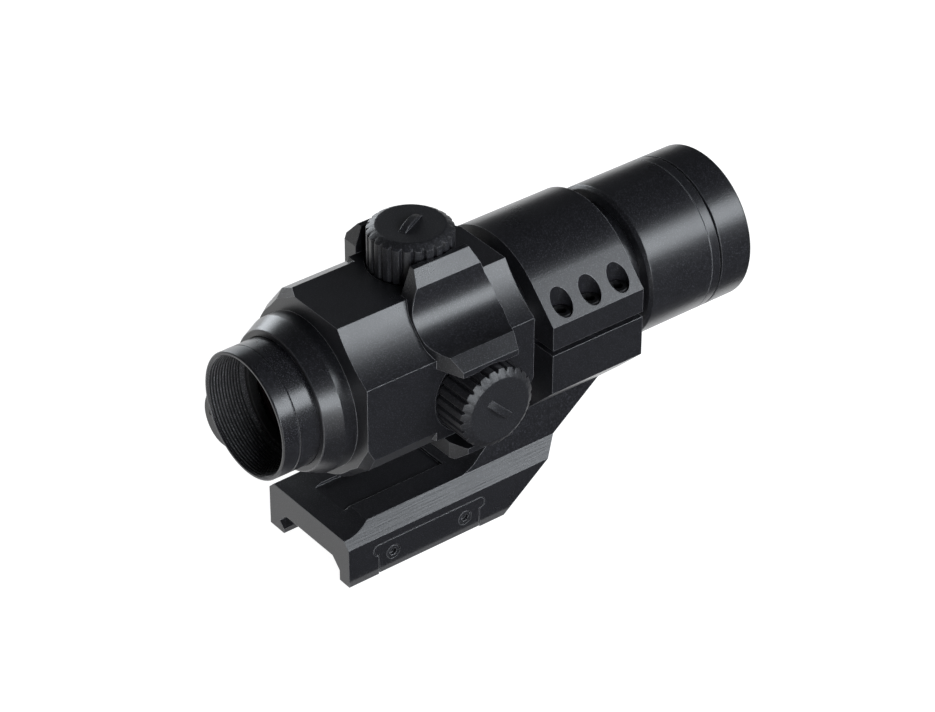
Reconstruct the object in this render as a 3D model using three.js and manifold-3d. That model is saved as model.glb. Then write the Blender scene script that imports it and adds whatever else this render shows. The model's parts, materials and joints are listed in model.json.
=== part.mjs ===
// Compact tube sight (finder scope) on a cantilever rail mount, in millimetres.
// Row frame: origin on the flat that rests on the rail, midway between the two
// clamp screws; +Y forward along the line of sight, +X to the right, +Z up.
import * as THREE from 'three';
import { mergeVertices } from 'three/addons/utils/BufferGeometryUtils.js';
import Module from 'manifold-3d';

const wasm = await Module();
wasm.setup();

// ---------------------------------------------------------------- dimensions
const AXIS_HEIGHT = 39.5; // optical axis above the rail seat
const EYEPIECE_TO_SEAT = 38; // eyepiece face to the middle of the rail seat
const GAP = 0.3; // clearance between touching pieces
const FINE = 40; // facets of the large turned parts
const MEDIUM = 24; // facets of the turret and battery parts
const SMALL = 12; // facets of screws and pins

// Stations along the optical axis, from the eyepiece face.
const EYE_RING_END = 20;
const SLEEVE_START = 9.3;
const SLEEVE_CONE_END = 13.4;
const BLOCK_START = 16.7;
const BLOCK_END = 61.6;
const TURRET_Y = 44.7;
const CLAMP_START = 67;
const CLAMP_END = 92.6;
const BARREL_START = 97.9;
const BARREL_END = 118.5;
const TUBE_END = 103.3;
const SCOPE_END = 128;
const GIMBAL_Y = 88;

// Radii about the optical axis.
const EYE_RADIUS = 14.6;
const EYE_BORE = 13.7;
const SLEEVE_RADIUS = 18.1;
const SLEEVE_MOUTH = 16.3;
const BLOCK_RADIUS = 21;
const BLOCK_FLAT = 21.8; // distance of the top and right flats
const FACET_CORNER = 11.5; // where those flats meet the corner facet
const TUBE_RADIUS = 15;
const TUBE_BORE = 13.3;
const SLEEVE_BORE = 14.9;
const INNER_TUBE_RADIUS = 11.6;
const INNER_TUBE_BORE = 10.6;
const BARREL_RADIUS = 18.4;
const BARREL_BORE = 16.4;

// Turret guards.
const GUARD_TOP = 28.2;
const GUARD_EDGE = 10.9;
const GUARD_SHOULDER = 25;
const GUARD_FACE = 13.5;
const GUARD_FILLET = 10.5;
const GUARD_TAPER = 0.37; // lean of the guards' ends
const POCKET_RADIUS = 10.1;
const POCKET_FLOOR = 20.8;
const SLOT_HALF = 9.5; // half the width between two facing guards

// Turrets, as distances from the optical axis.
const CAP_TOP = 31.3;
const CAP_BASE = 21.6;
const CAP_RADIUS = 9.65;
const CAP_FACE_RADIUS = 7.8;
const CAP_SCALLOPS = 24;
const COLLAR_TOP = 28.4;
const BALL_RADIUS = 4.4; // distance of the click ball from the turret axis

// Battery compartment and its cap, lower left of the block.
const BATTERY_X = -20.5;
const BATTERY_Z = -16;
const BATTERY_BOSS = 7.5;
const BATTERY_CAP_START = 7.4;
const BATTERY_WELL = 5.7;
const BATTERY_END = 63.4;

// Keypad on the left side.
const KEYPAD_FACE = 24.6;
const KEYPAD_Y = 40;
const KEYPAD_Z = -2.5;
const BUTTON_SPACING = 14;

// Ring clamp.
const RING_OUTER = 20;
const RING_BORE = 15.15;
const RING_SIDE = 21.8;
const RING_SPLIT = 0.45;
const RING_SCREW_X = 18.5;
const RING_SCREW_Y = [71.8, 79.8, 87.8];

// Rail base, heights measured from the optical axis.
const BASE_START = 15.9;
const BASE_HALF = 15;
const BASE_BOTTOM = -44.8;
const BASE_FLOOR = -33;
const CHANNEL_FLOOR = -32.1;
const BASE_TOP = -31.4;
const BASE_BEVEL = 3.3;
const RISER_HALF = 11.7;
const FRONT_SLOPE = 0.8;
const FRONT_FOOT = 59.1;
const RAIL_TOP_HALF = 8.8;
const RAIL_WIDE_HALF = 11.4;
const RAIL_WIDE_DROP = 2.6;
const JAW_HALF = 9.8;
const CLAMP_SCREW_Y = [28, 48];
const CLAMP_SCREW_Z = -40.4;
const PLATE_INNER = 11.2;

// ---------------------------------------------------------------- materials
const finish = (color, roughness, metalness) => () =>
  new THREE.MeshStandardMaterial({ color, roughness, metalness });
const anodised = finish(0x1b1b1d, 0.45, 0.7);
const innerBlack = finish(0x101011, 0.8, 0.3);
const screwSteel = finish(0x202022, 0.35, 0.9);
const brass = finish(0xb08d4a, 0.35, 0.9);
const springSteel = finish(0x9a9a98, 0.3, 0.9);
const rubber = finish(0x161616, 0.9, 0);
const coatedGlass = finish(0x6d2f3a, 0.05, 0.1);
const boardGreen = finish(0x1f5a35, 0.6, 0.1);
const cellWrap = finish(0x8f9398, 0.4, 0.6);

// ---------------------------------------------------------------- geometry helpers
function solid(geometry) {
  const bare = geometry.clone();
  bare.deleteAttribute('normal');
  bare.deleteAttribute('uv');
  const merged = mergeVertices(bare, 1e-4);
  const vertProperties = new Float32Array(merged.attributes.position.array);
  const triVerts = new Uint32Array(merged.index.array);
  return new wasm.Manifold(new wasm.Mesh({ numProp: 3, vertProperties, triVerts }));
}

function surface(body) {
  const mesh = body.getMesh();
  const geometry = new THREE.BufferGeometry();
  const stride = mesh.numProp;
  const count = mesh.vertProperties.length / stride;
  const position = new Float32Array(count * 3);
  for (let i = 0; i < count; i += 1) {
    for (let k = 0; k < 3; k += 1) {
      position[i * 3 + k] = mesh.vertProperties[i * stride + k];
    }
  }
  geometry.setAttribute('position', new THREE.BufferAttribute(position, 3));
  geometry.setIndex(new THREE.BufferAttribute(new Uint32Array(mesh.triVerts), 1));
  geometry.computeVertexNormals();
  return geometry;
}

const join = (first, ...rest) => rest.reduce((body, next) => body.add(next), first);
const cut = (first, ...rest) => rest.reduce((body, next) => body.subtract(next), first);

// A solid turned about +Y; profile pairs are [radius, y].
function turned(profile, facets = FINE) {
  const closed = profile[0][0] > 0;
  const points = profile.map(([r, y]) => new THREE.Vector2(r, y));
  if (closed) points.push(points[0].clone());
  const area = profile.reduce((sum, [r, y], i) => {
    const [r2, y2] = profile[(i + 1) % profile.length];
    return sum + r * y2 - r2 * y;
  }, 0);
  if (area < 0) points.reverse();
  return new THREE.LatheGeometry(points, facets);
}

const rod = (radius, y0, y1, facets = SMALL) =>
  turned([[0, y0], [radius, y0], [radius, y1], [0, y1]], facets);
const pipe = (inner, outer, y0, y1, facets = FINE) =>
  turned([[inner, y0], [outer, y0], [outer, y1], [inner, y1]], facets);

// The same, stood up along +Z or laid along +X.
const upright = (geometry) => geometry.rotateX(Math.PI / 2).rotateZ(Math.PI);
const sideways = (geometry) => geometry.rotateZ(-Math.PI / 2);
const at = (geometry, x, y, z) => geometry.translate(x, y, z);

const outline = (points) =>
  new THREE.Shape(points.map(([a, b]) => new THREE.Vector2(a, b)));

function extruded(points, depth) {
  const settings = { depth, bevelEnabled: false, curveSegments: 1 };
  return new THREE.ExtrudeGeometry(outline(points), settings);
}

// An XZ outline drawn out along Y, and a YZ outline drawn out along X.
const alongY = (points, y0, y1) =>
  extruded(points, y1 - y0).rotateX(Math.PI / 2).translate(0, y1, 0);

function alongX(points, x0, x1) {
  const turn = new THREE.Matrix4().makeBasis(
    new THREE.Vector3(0, 1, 0),
    new THREE.Vector3(0, 0, 1),
    new THREE.Vector3(1, 0, 0),
  );
  return extruded(points, x1 - x0).applyMatrix4(turn).translate(x0, 0, 0);
}

function arc(cx, cz, radius, from, to, steps) {
  const points = [];
  for (let i = 0; i <= steps; i += 1) {
    const angle = THREE.MathUtils.degToRad(from + ((to - from) * i) / steps);
    points.push([cx + radius * Math.cos(angle), cz + radius * Math.sin(angle)]);
  }
  return points;
}

function box(x0, x1, y0, y1, z0, z1) {
  const geometry = new THREE.BoxGeometry(x1 - x0, y1 - y0, z1 - z0);
  return geometry.translate((x0 + x1) / 2, (y0 + y1) / 2, (z0 + z1) / 2);
}

const optic = new THREE.Group();
optic.position.set(0, -EYEPIECE_TO_SEAT, AXIS_HEIGHT);

function add(name, geometry, material, parent = optic) {
  const mesh = new THREE.Mesh(geometry, material());
  mesh.name = name;
  parent.add(mesh);
  return mesh;
}

// ---------------------------------------------------------------- main housing
// The outer surface of the block: round on the left and below with flanks at
// 45 degrees, two flats, and a slightly hollow facet at the upper right. The
// ends of the round side are chamfered; those of the flats are square, and
// slant back towards the flanks.
function block() {
  const chamfer = { length: 2, depth: 1.3 };
  const flankEnd = BLOCK_RADIUS * Math.SQRT2 - BLOCK_FLAT;
  const section = outline([
    [BLOCK_FLAT, -flankEnd],
    [BLOCK_FLAT, BLOCK_FLAT],
    [-flankEnd, BLOCK_FLAT],
    ...arc(0, 0, BLOCK_RADIUS, 135, 315, 22),
  ]);
  const round = new THREE.ExtrudeGeometry(section, {
    depth: BLOCK_END - BLOCK_START - 2 * chamfer.length,
    bevelThickness: chamfer.length,
    bevelSize: chamfer.depth,
    bevelOffset: -chamfer.depth,
    bevelSegments: 1,
    curveSegments: 1,
  });
  round.rotateX(Math.PI / 2).translate(0, BLOCK_END - chamfer.length, 0);
  const shy = 3.4; // where each flat's end begins to slant back
  const slant = 2.6;
  const ridge = -flankEnd + 0.1;
  const flat = solid(extruded([
    [BLOCK_FLAT, BLOCK_START],
    [BLOCK_FLAT, BLOCK_END],
    [-shy, BLOCK_END],
    [ridge, BLOCK_END - slant],
    [ridge, BLOCK_START + slant],
    [-shy, BLOCK_START],
  ], BLOCK_FLAT + shy).translate(0, 0, -shy));
  const hollow = 0.8;
  const halfFacet = ((BLOCK_FLAT - FACET_CORNER) * Math.SQRT2) / 2;
  const facetRadius = (halfFacet ** 2 + hollow ** 2) / (2 * hollow);
  const facetReach = (BLOCK_FLAT + FACET_CORNER) / Math.SQRT2 - hollow + facetRadius;
  const facet = rod(facetRadius, 0, 100, 90);
  at(facet, facetReach / Math.SQRT2, 0, facetReach / Math.SQRT2);
  return cut(join(solid(round), flat, flat.mirror([1, 0, -1])), solid(facet));
}

// What lies between two leaning end faces, mirrored about the turret's middle.
function leaning(reach, x0, x1) {
  const low = 0;
  const high = 34;
  const atLow = reach + GUARD_TAPER * (GUARD_SHOULDER - low);
  const atHigh = reach - GUARD_TAPER * (high - GUARD_SHOULDER);
  return solid(alongX([
    [TURRET_Y - atLow, low],
    [TURRET_Y + atLow, low],
    [TURRET_Y + atHigh, high],
    [TURRET_Y - atHigh, high],
  ], x0, x1));
}

// The guards that stand up on both sides of each turret. The pair at the top is
// drawn, with half of the fillet at the corner, and mirrored to the right side.
function guards() {
  const inner = 6;
  const outerReach = 7.3;
  const footReach = 7.8;
  const cornerReach = 8.55;
  const fillet = GUARD_FACE + GUARD_FILLET;
  const profile = [
    [-GUARD_FACE, inner],
    [-GUARD_FACE, GUARD_SHOULDER],
    [-GUARD_EDGE, GUARD_TOP],
    [GUARD_EDGE, GUARD_TOP],
    [GUARD_FACE, GUARD_SHOULDER],
    ...arc(fillet, fillet, GUARD_FILLET, 180, 234, 6),
    [inner, inner],
  ].reverse();
  const prism = solid(alongY(profile, TURRET_Y - 15, TURRET_Y + 15));
  const foot = box(-20, -SLOT_HALF, TURRET_Y - footReach, TURRET_Y + footReach, 0, 34);
  const outer = leaning(outerReach, -20, -SLOT_HALF).intersect(solid(foot));
  const ends = join(outer, leaning(cornerReach, -SLOT_HALF, 30));
  const pair = prism.intersect(ends);
  const half = [
    [14, 10.7],
    [23.9, 10.7],
    [26.2, 9.4],
    [34, 9.4],
  ];
  const near = half.map(([r, reach]) => [r, TURRET_Y - reach]);
  const far = half.map(([r, reach]) => [r, TURRET_Y + reach]).reverse();
  const envelope = turned([...near, ...far]);
  return join(pair, pair.mirror([1, 0, -1])).intersect(solid(envelope));
}

// The round pocket under each cap and the slot between its guards.
function pocket() {
  const round = upright(rod(POCKET_RADIUS, POCKET_FLOOR, 40, 56));
  at(round, 0, TURRET_Y, 0);
  const slot = box(-SLOT_HALF, SLOT_HALF, TURRET_Y - 12, TURRET_Y + 12, BLOCK_FLAT, 40);
  return join(solid(round), solid(slot));
}

function housingBores() {
  const turretBore = 6.5;
  const cap = (geometry) => at(geometry, 0, TURRET_Y, 0);
  const tools = [
    rod(TUBE_BORE, 10, 110, FINE),
    rod(SLEEVE_BORE, 5, EYE_RING_END + GAP, FINE),
    cap(upright(rod(turretBore, 10, 30, MEDIUM))),
    cap(sideways(rod(turretBore, 10, 30, MEDIUM))),
    at(upright(rod(0.85, 12, 16, 12)), 0, GIMBAL_Y, 0),
    at(upright(rod(0.85, -16, -12, 12)), 0, GIMBAL_Y, 0),
    at(rod(BATTERY_WELL, 10, BATTERY_END - 2, MEDIUM), BATTERY_X, 0, BATTERY_Z),
    at(rod(6.7, 10, BLOCK_START + 4.5, MEDIUM), BATTERY_X, 0, BATTERY_Z),
  ];
  return [pocket(), pocket().mirror([1, 0, -1]), ...tools.map(solid)];
}

function keypadBoss() {
  const half = [BUTTON_SPACING / 2 + 8, 6.5];
  const outer = box(-KEYPAD_FACE, -16, KEYPAD_Y - half[0], KEYPAD_Y + half[0],
    KEYPAD_Z - half[1], KEYPAD_Z + half[1]);
  const pocket = box(-KEYPAD_FACE - 1, -19.6, KEYPAD_Y - half[0] + 3.4, KEYPAD_Y + half[0] - 3.4,
    KEYPAD_Z - half[1] + 1.5, KEYPAD_Z + half[1] - 1.5);
  const holes = [-1, 1].map((side) => at(
    sideways(rod(0.9, -30, -21, 12)), 0, KEYPAD_Y + side * (half[0] - 1.6), KEYPAD_Z));
  return { outer: solid(outer), tools: [pocket, ...holes].map(solid) };
}

function mainHousing() {
  const sleeve = turned([
    [0, SLEEVE_START],
    [SLEEVE_MOUTH, SLEEVE_START],
    [SLEEVE_RADIUS, SLEEVE_CONE_END],
    [SLEEVE_RADIUS, BLOCK_START + 1],
    [0, BLOCK_START + 1],
  ]);
  const tube = rod(TUBE_RADIUS, BLOCK_END - 1, TUBE_END, FINE);
  const boss = turned([
    [0, BLOCK_START],
    [BATTERY_BOSS, BLOCK_START],
    [BATTERY_BOSS, BATTERY_END - 1.5],
    [BATTERY_BOSS - 1.5, BATTERY_END],
    [0, BATTERY_END],
  ], MEDIUM);
  at(boss, BATTERY_X, 0, BATTERY_Z);
  const keypad = keypadBoss();
  const outside = join(block(), guards(), solid(sleeve), solid(tube), solid(boss), keypad.outer);
  return surface(cut(outside, ...housingBores(), ...keypad.tools));
}

add('main_housing', mainHousing(), anodised);

// ---------------------------------------------------------------- eyepiece end
add('eyepiece_ring', turned([
  [EYE_BORE + 0.4, 0],
  [EYE_RADIUS - 0.3, 0],
  [EYE_RADIUS, 0.3],
  [EYE_RADIUS, 16],
  [EYE_RADIUS - 0.9, 16],
  [EYE_RADIUS - 0.9, 17.6],
  [EYE_RADIUS, 17.6],
  [EYE_RADIUS, EYE_RING_END],
  [11.4, EYE_RING_END],
  [11.4, 14.8],
  [EYE_BORE, 14.8],
  [EYE_BORE, 0.4],
]), anodised);
add('eyepiece_lens', turned([
  [0, 11.8],
  [13.3, 12.2],
  [13.3, 14.4],
  [0, 14.4],
], 24), coatedGlass);
add('eyepiece_retainer', pipe(12, 13.45, 9.4, 11.5, 24), innerBlack);
add('eyepiece_o_ring', pipe(13.95, 14.7, 16.2, 17.4, 24), rubber);

// ---------------------------------------------------------------- objective end
add('objective_barrel', turned([
  [TUBE_RADIUS + 0.15, BARREL_START],
  [BARREL_RADIUS - 1, BARREL_START],
  [BARREL_RADIUS, BARREL_START + 0.7],
  [BARREL_RADIUS, BARREL_END],
  [BARREL_RADIUS - 0.7, BARREL_END],
  [BARREL_RADIUS - 0.7, BARREL_END + 3],
  [15.2, BARREL_END + 3],
  [15.2, 108],
  [13.8, 108],
  [13.8, TUBE_END + 1.2],
  [TUBE_RADIUS + 0.15, TUBE_END + 1.2],
]), anodised);
add('objective_end_ring', turned([
  [BARREL_RADIUS - 0.4, BARREL_END + 0.4],
  [BARREL_RADIUS, BARREL_END + 0.6],
  [BARREL_RADIUS, SCOPE_END - 0.4],
  [BARREL_RADIUS - 0.4, SCOPE_END],
  [BARREL_BORE + 0.3, SCOPE_END],
  [BARREL_BORE, SCOPE_END - 0.3],
  [BARREL_BORE, BARREL_END + 3.4],
  [BARREL_RADIUS - 0.4, BARREL_END + 3.4],
]), anodised);
add('objective_lens', turned([
  [0, 108.4],
  [14.9, 108.4],
  [14.9, 111],
  [0, 112],
], 24), coatedGlass);
add('objective_retainer', pipe(13.6, 14.95, 112.4, 114.4, 24), innerBlack);
add('objective_o_ring', pipe(14.1, TUBE_RADIUS - 0.05, TUBE_END + 0.2, TUBE_END + 0.9, 24), rubber);

// ---------------------------------------------------------------- collimator tube
const gimbalInner = INNER_TUBE_RADIUS + 0.25;
const gimbalOuter = TUBE_BORE - 0.25;

function innerTube() {
  const shell = pipe(INNER_TUBE_BORE, INNER_TUBE_RADIUS, 26, 94, 30);
  const pins = sideways(rod(0.85, -14, 14, 12));
  at(pins, 0, GIMBAL_Y, 0);
  return surface(cut(solid(shell), solid(pins)));
}

function gimbalRing() {
  const ring = pipe(gimbalInner, gimbalOuter, GIMBAL_Y - 2, GIMBAL_Y + 2, 30);
  const across = at(sideways(rod(0.85, -14, 14, 12)), 0, GIMBAL_Y, 0);
  const down = at(upright(rod(0.85, -14, 14, 12)), 0, GIMBAL_Y, 0);
  return surface(cut(solid(ring), solid(across), solid(down)));
}

add('inner_tube', innerTube(), innerBlack);
add('gimbal_ring', gimbalRing(), innerBlack);
for (const [side, word] of [[1, 'right'], [-1, 'left']]) {
  const reach = [INNER_TUBE_BORE + 0.1, gimbalOuter].map((r) => r * side).sort((a, b) => a - b);
  add(`pitch_pin_${word}`, at(sideways(rod(0.7, ...reach, 12)), 0, GIMBAL_Y, 0), springSteel);
}
for (const [side, word] of [[1, 'top'], [-1, 'bottom']]) {
  const reach = [gimbalInner, TUBE_RADIUS - 0.1].map((r) => r * side).sort((a, b) => a - b);
  add(`yaw_pin_${word}`, at(upright(rod(0.7, ...reach, 12)), 0, GIMBAL_Y, 0), springSteel);
}
add('reflex_lens', turned([
  [0, 89.2],
  [10.3, 90.2],
  [10.3, 92.6],
  [0, 91.6],
], MEDIUM), coatedGlass);
add('emitter_module', box(-2.4, 2.4, 27, 33, -9.8, -7.2), boardGreen);

function leafSpring() {
  const leaf = [
    ...arc(0, 0, 13.1, 200, 250, 8),
    ...arc(0, 0, 12.85, 250, 200, 8),
  ];
  return alongY(leaf, 36, 56);
}
add('leaf_spring', leafSpring(), springSteel);

// ---------------------------------------------------------------- turrets
// A fluted round outline: shallow grooves cut into a circle.
function fluted(radius, depth, count) {
  const points = [];
  const shares = [-0.5, -0.18, 0.18];
  const drops = [0, 0.85, 0.85];
  for (let i = 0; i < count; i += 1) {
    shares.forEach((share, k) => {
      const angle = ((i + share) * 2 * Math.PI) / count;
      const r = radius - depth * drops[k];
      points.push([r * Math.cos(angle), r * Math.sin(angle)]);
    });
  }
  return points;
}

// The screw-on cap: a fluted grip, a bevelled face and a coin blade.
function turretCap() {
  const bevel = CAP_TOP - 1.2;
  const grip = extruded(fluted(CAP_RADIUS, 0.75, CAP_SCALLOPS), CAP_TOP - CAP_BASE);
  grip.translate(0, 0, CAP_BASE);
  const crown = upright(turned([
    [0, CAP_BASE],
    [CAP_RADIUS - 0.3, CAP_BASE],
    [CAP_RADIUS + 0.2, CAP_BASE + 0.5],
    [CAP_RADIUS + 0.2, bevel - 0.13],
    [CAP_FACE_RADIUS, CAP_TOP],
    [0, CAP_TOP],
  ], 2 * CAP_SCALLOPS));
  const blade = alongX([[-3.9, -1], [3.9, -1], ...arc(0, -8.1, 9.1, 64.5, 115.5, 8)], -0.85, 0.85);
  blade.translate(0, 0, CAP_TOP);
  const well = upright(rod(7.9, CAP_BASE - 1, COLLAR_TOP + 0.8, MEDIUM));
  const sealStep = upright(rod(8.65, CAP_BASE - 1, CAP_BASE + 0.65, MEDIUM));
  return surface(cut(
    join(solid(grip).intersect(solid(crown)), solid(blade)), solid(well), solid(sealStep)));
}

function collar() {
  const flange = [CAP_RADIUS + 0.1, POCKET_FLOOR + 0.2, CAP_BASE - 0.3];
  const body = upright(turned([
    [2.1, 14],
    [6.2, 14],
    [6.2, flange[1]],
    [flange[0], flange[1]],
    [flange[0], flange[2]],
    [7.5, flange[2]],
    [7.5, COLLAR_TOP],
    [6.4, COLLAR_TOP],
    [6.4, 24.6],
    [2.1, 24.6],
  ], MEDIUM));
  const ballHole = upright(rod(0.95, 20.5, 25, 12)).translate(BALL_RADIUS, 0, 0);
  return surface(cut(solid(body), solid(ballHole)));
}

function dial() {
  const body = upright(turned([
    [0, 24.9],
    [6, 24.9],
    [6, COLLAR_TOP - 0.4],
    [0, COLLAR_TOP - 0.4],
  ], MEDIUM));
  const stem = upright(rod(1.8, 20, 25.5, SMALL));
  const slot = box(-0.7, 0.7, -5, 5, COLLAR_TOP - 1.6, COLLAR_TOP + 1);
  return surface(cut(join(solid(body), solid(stem)), solid(slot)));
}

// Each turret is built upright about the optical axis, then the windage one is
// laid over to the right by a quarter turn about the line of sight.
for (const [name, tilt, blade] of [['elevation', 0, 26], ['windage', Math.PI / 2, 135]]) {
  const turret = new THREE.Group();
  turret.position.y = TURRET_Y;
  turret.rotation.y = tilt;
  optic.add(turret);
  add(`${name}_collar`, collar(), anodised, turret);
  add(`${name}_cap_seal`, upright(pipe(7.7, 8.45, CAP_BASE - 0.1, CAP_BASE + 0.45, MEDIUM)),
    rubber, turret);
  const cap = add(`${name}_cap`, turretCap(), anodised, turret);
  cap.rotation.z = THREE.MathUtils.degToRad(blade);
  add(`${name}_dial`, dial(), brass, turret);
  add(`${name}_plunger`, upright(rod(1.6, INNER_TUBE_RADIUS + GAP, 19, SMALL)), springSteel, turret);
  const ball = new THREE.SphereGeometry(0.8, 10, 6).rotateX(Math.PI / 2);
  add(`${name}_detent_ball`, ball.translate(BALL_RADIUS, 0, 23.85), springSteel, turret);
}

// ---------------------------------------------------------------- battery compartment
const battery = new THREE.Group();
battery.position.set(BATTERY_X, 0, BATTERY_Z);
optic.add(battery);

function batteryCap() {
  const grip = extruded(fluted(BATTERY_BOSS, 0.5, 18), BLOCK_START - GAP - BATTERY_CAP_START);
  grip.rotateX(Math.PI / 2).translate(0, BLOCK_START - GAP, 0);
  const crown = turned([
    [0, BATTERY_CAP_START],
    [BATTERY_BOSS - 1, BATTERY_CAP_START],
    [BATTERY_BOSS + 0.2, BATTERY_CAP_START + 1.2],
    [BATTERY_BOSS + 0.2, BLOCK_START - GAP],
    [0, BLOCK_START - GAP],
  ], MEDIUM);
  const spigot = rod(6.45, BLOCK_START - 1, BLOCK_START + 4, 24);
  const well = rod(5.6, 10.4, BLOCK_START + 6, 24);
  const slot = box(-4.5, 4.5, 0, BATTERY_CAP_START + 1.2, -0.8, 0.8);
  const groove = pipe(6.0, 7, BLOCK_START + 1, BLOCK_START + 2.2, 24);
  return surface(cut(join(
    solid(grip).intersect(solid(crown)), solid(spigot)), solid(well), solid(slot), solid(groove)));
}

add('battery_cap', batteryCap(), anodised, battery);
add('battery_cap_seal', pipe(6.1, 6.6, BLOCK_START + 1.2, BLOCK_START + 2, 24), rubber, battery);
add('battery', turned([
  [0, 12.4],
  [4.8, 12.4],
  [5.25, 12.8],
  [5.25, 56],
  [4.8, 56.4],
  [1.9, 56.4],
  [1.9, 57.2],
  [0, 57.2],
], 24), cellWrap, battery);
add('battery_contact', turned([
  [0, 57.5],
  [1.8, 57.5],
  [5.2, 60.7],
  [5.2, 61.1],
  [1.6, 58.2],
  [0, 58.2],
], 24), springSteel, battery);
add('cap_contact', pipe(0.8, 4.8, 10.7, 12.1, 24), springSteel, battery);

// ---------------------------------------------------------------- keypad
const frameFace = -KEYPAD_FACE - GAP - 1.3;
const buttonY = [KEYPAD_Y - BUTTON_SPACING / 2, KEYPAD_Y + BUTTON_SPACING / 2];

function keypadFrame() {
  const half = [BUTTON_SPACING / 2 + 8, 6.5];
  const plate = box(frameFace, -KEYPAD_FACE - GAP, KEYPAD_Y - half[0], KEYPAD_Y + half[0],
    KEYPAD_Z - half[1], KEYPAD_Z + half[1]);
  const windows = buttonY.map((y) => at(sideways(rod(4.5, -40, 0, 24)), 0, y, KEYPAD_Z));
  const screws = [-1, 1].map((side) => at(
    sideways(rod(0.9, -40, 0, 12)), 0, KEYPAD_Y + side * (half[0] - 1.6), KEYPAD_Z));
  return surface(cut(solid(plate), ...windows.map(solid), ...screws.map(solid)));
}

add('keypad_frame', keypadFrame(), anodised);
['plus', 'minus'].forEach((word, i) => {
  const button = sideways(turned([
    [0, frameFace - 1.2],
    [3.2, frameFace - 1.2],
    [4.1, frameFace - 0.5],
    [4.1, frameFace + 1.9],
    [0, frameFace + 1.9],
  ], 24));
  add(`${word}_button`, at(button, 0, buttonY[i], KEYPAD_Z), rubber);
  add(`${word}_switch`, at(sideways(rod(1.8, frameFace + 2.9, -21.5, SMALL)), 0, buttonY[i], KEYPAD_Z),
    screwSteel);
});
add('control_board', box(-21.2, -20, KEYPAD_Y - 11, KEYPAD_Y + 11, KEYPAD_Z - 4.6, KEYPAD_Z + 4.6),
  boardGreen);
[['rear', -1], ['front', 1]].forEach(([word, side]) => {
  const screw = sideways(turned([
    [0, frameFace - 0.55],
    [1.3, frameFace - 0.55],
    [1.3, frameFace - 0.15],
    [0.7, frameFace - 0.15],
    [0.7, -22],
    [0, -22],
  ], SMALL));
  add(`keypad_screw_${word}`, at(screw, 0, KEYPAD_Y + side * (BUTTON_SPACING / 2 + 6.4), KEYPAD_Z),
    screwSteel);
});

// ---------------------------------------------------------------- ring clamp
function hexagon(radius) {
  return arc(0, 0, radius, 0, 300, 5);
}

function ringCap() {
  const profile = [
    [RING_SIDE, RING_SPLIT],
    [RING_SIDE, RING_OUTER * Math.SQRT2 - RING_SIDE],
    ...arc(0, 0, RING_OUTER, 45, 135, 16),
    [-RING_SIDE, RING_OUTER * Math.SQRT2 - RING_SIDE],
    [-RING_SIDE, RING_SPLIT],
    ...arc(0, 0, RING_BORE, 180 - 1.7, 1.7, 24),
  ];
  const holes = [];
  for (const x of [-RING_SCREW_X, RING_SCREW_X]) {
    for (const y of RING_SCREW_Y) {
      holes.push(at(upright(rod(2.6, 4.5, 30, 18)), x, y, 0));
      holes.push(at(upright(rod(1.6, -1, 6, SMALL)), x, y, 0));
    }
  }
  return surface(cut(solid(alongY(profile, CLAMP_START, CLAMP_END)), ...holes.map(solid)));
}

function ringScrew() {
  const body = upright(turned([
    [0, -9],
    [1.4, -9],
    [1.4, 4.8],
    [2.35, 4.8],
    [2.35, 7.3],
    [2.1, 7.6],
    [0, 7.6],
  ], 14));
  const socket = extruded(hexagon(1.3), 3).translate(0, 0, 6);
  return surface(cut(solid(body), solid(socket)));
}

add('ring_cap', ringCap(), anodised);
let screwNumber = 0;
for (const x of [-RING_SCREW_X, RING_SCREW_X]) {
  for (const y of RING_SCREW_Y) {
    screwNumber += 1;
    add(`ring_screw_${screwNumber}`, ringScrew(), screwSteel).position.set(x, y, 0);
  }
}

// ---------------------------------------------------------------- mount body
const frontAt = (z) => FRONT_FOOT + (z - BASE_BOTTOM) / FRONT_SLOPE;

function baseBlock() {
  const shoulder = BASE_TOP - BASE_BEVEL;
  const profile = [
    [-BASE_HALF, BASE_BOTTOM],
    [BASE_HALF, BASE_BOTTOM],
    [BASE_HALF, shoulder],
    [BASE_HALF - BASE_BEVEL, BASE_TOP],
    [-BASE_HALF + BASE_BEVEL, BASE_TOP],
    [-BASE_HALF, shoulder],
  ];
  const block = solid(alongY(profile, BASE_START, frontAt(BASE_TOP)));
  const ramp = alongX([
    [BASE_START - 1, BASE_FLOOR],
    ...arc(BASE_START + 0.5, BASE_FLOOR + 15.7, 15.7, 270, 304, 6),
    [BASE_START - 1, BASE_TOP + 3],
  ], -20, 20);
  const channel = box(-5.4, 5.4, BASE_START - 1, 49, CHANNEL_FLOOR, BASE_TOP + 1);
  return cut(block, solid(ramp), solid(channel));
}

function riser() {
  const profile = [
    [49.2, BASE_TOP - 3],
    [49.2, BASE_TOP - 0.1],
    [49.6, BASE_TOP - 0.1],
    ...arc(47.6, -23.1, 8.6, 284, 322, 5),
    [60, -22.7],
    [CLAMP_START + 1, -17],
    [CLAMP_END, -17],
    [CLAMP_END, BASE_BOTTOM + (CLAMP_END - FRONT_FOOT) * FRONT_SLOPE],
    [FRONT_FOOT + 1, BASE_BOTTOM + FRONT_SLOPE],
    [FRONT_FOOT - 8, BASE_BOTTOM + FRONT_SLOPE],
  ].reverse();
  return solid(alongX(profile, -RISER_HALF, RISER_HALF));
}

function cradle() {
  const side = [
    [RING_SIDE, -0.9],
    [RING_SIDE, -11],
    [11.9, -20.9],
  ];
  const mirrored = side.map(([x, z]) => [-x, z]).reverse();
  return solid(alongY([...side, ...mirrored].reverse(), CLAMP_START, CLAMP_END));
}

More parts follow.
